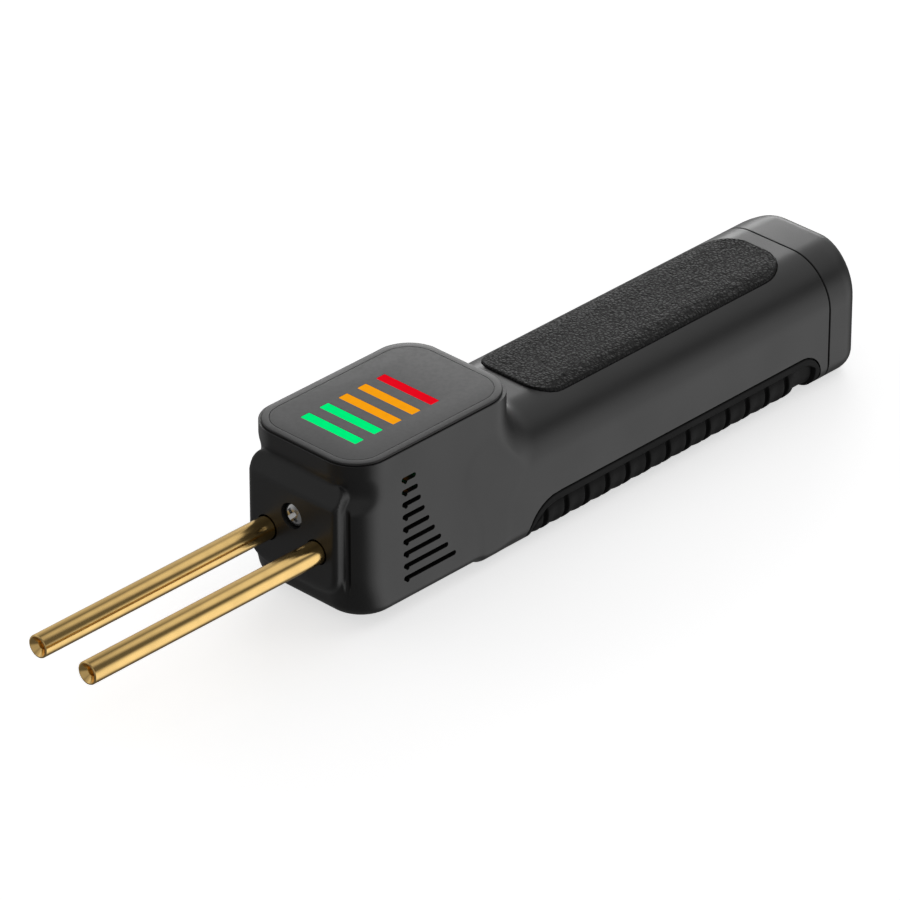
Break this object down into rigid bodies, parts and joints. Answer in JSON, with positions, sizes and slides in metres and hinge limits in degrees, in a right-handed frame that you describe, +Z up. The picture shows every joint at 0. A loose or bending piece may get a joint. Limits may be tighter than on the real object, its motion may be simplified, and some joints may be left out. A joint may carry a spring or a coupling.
{
  "type": "cordless plastic welder",
  "caption": "Battery-powered hand tool that melts hot staples into plastic: parallel brass electrodes, a head with indicator light bars, and a ribbed handle with a push trigger underneath.",
  "frame": {"origin": "middle of the object's footprint, on the plane that its underside rests on", "axes": "+X forward along the electrodes to their tips, +Y to the tool's left, +Z up through the indicator lights"},
  "size_m": [0.2182, 0.0338, 0.0381],
  "materials": {
    "shell": "satin, fine spark texture",
    "cover": "satin",
    "film": "satin printed film",
    "pad": "coarse leather grain",
    "grip": "soft-touch overmould",
    "green_light": "lit translucent light guide",
    "orange_light": "lit translucent light guide",
    "red_light": "lit translucent light guide",
    "electrode_brass": "polished, turned",
    "terminal_brass": "machined",
    "screw_steel": "bright nickel plate",
    "dark_screw": "black oxide",
    "spring_steel": "drawn wire",
    "phenolic": "moulded phenolic",
    "button": "soft satin",
    "switch_body": "moulded",
    "plunger": "moulded acetal",
    "circuit_board": "solder mask",
    "led_white": "clear resin",
    "chip": "moulded epoxy",
    "cell_sleeve": "heat-shrink sleeve",
    "cradle": "moulded",
    "nickel": "nickel strip",
    "port_steel": "stamped shell",
    "red_lead": "silicone insulation",
    "black_lead": "silicone insulation",
    "white_lead": "silicone insulation"
  },
  "bodies": {
    "root": {"housing": "shell", "nose_screw": "screw_steel", "top_cover": "cover", "cover_screws": "screw_steel", "label_film": "film", "green_light_bars": "green_light", "orange_light_bars": "orange_light", "red_light_bar": "red_light", "top_grip_pad": "pad", "lower_grip": "grip", "end_cap": "shell", "end_cap_screws": "dark_screw", "electrode_left": "electrode_brass", "electrode_right": "electrode_brass", "electrode_block": "phenolic", "terminal_left": "terminal_brass", "terminal_right": "terminal_brass", "terminal_screws": "dark_screw", "trigger_spring": "spring_steel", "push_switch": "switch_body", "switch_board": "circuit_board", "switch_board_screws": "screw_steel", "main_board": "circuit_board", "main_board_screws": "screw_steel", "indicator_leds": "led_white", "power_transistors": "chip", "control_chip": "chip", "battery_cell": "cell_sleeve", "battery_cradle": "cradle", "cell_tabs": "nickel", "charge_board": "circuit_board", "charge_port": "port_steel", "electrode_lead_left": "red_lead", "electrode_lead_right": "black_lead", "battery_lead_front": "red_lead", "battery_lead_rear": "black_lead", "charge_leads": "red_lead", "switch_leads": "white_lead"},
    "trigger": {"trigger": "button"},
    "plunger": {"switch_plunger": "plunger"}
  },
  "joints": [
    {"name": "trigger_press", "type": "slide", "parent": "root", "child": "trigger", "axis": [0, 0, 1], "range_m": [0, 0.0012], "stiffness_N_per_m": 900, "springref_m": -0.001, "deforming": ["trigger_spring"]},
    {"name": "plunger_press", "type": "slide", "parent": "root", "child": "plunger", "axis": [0, 0, 1], "range_m": [0, 0.0012]}
  ],
  "couplings": [
    {"joint": "plunger_press", "follows": "trigger_press", "ratio": 1}
  ]
}
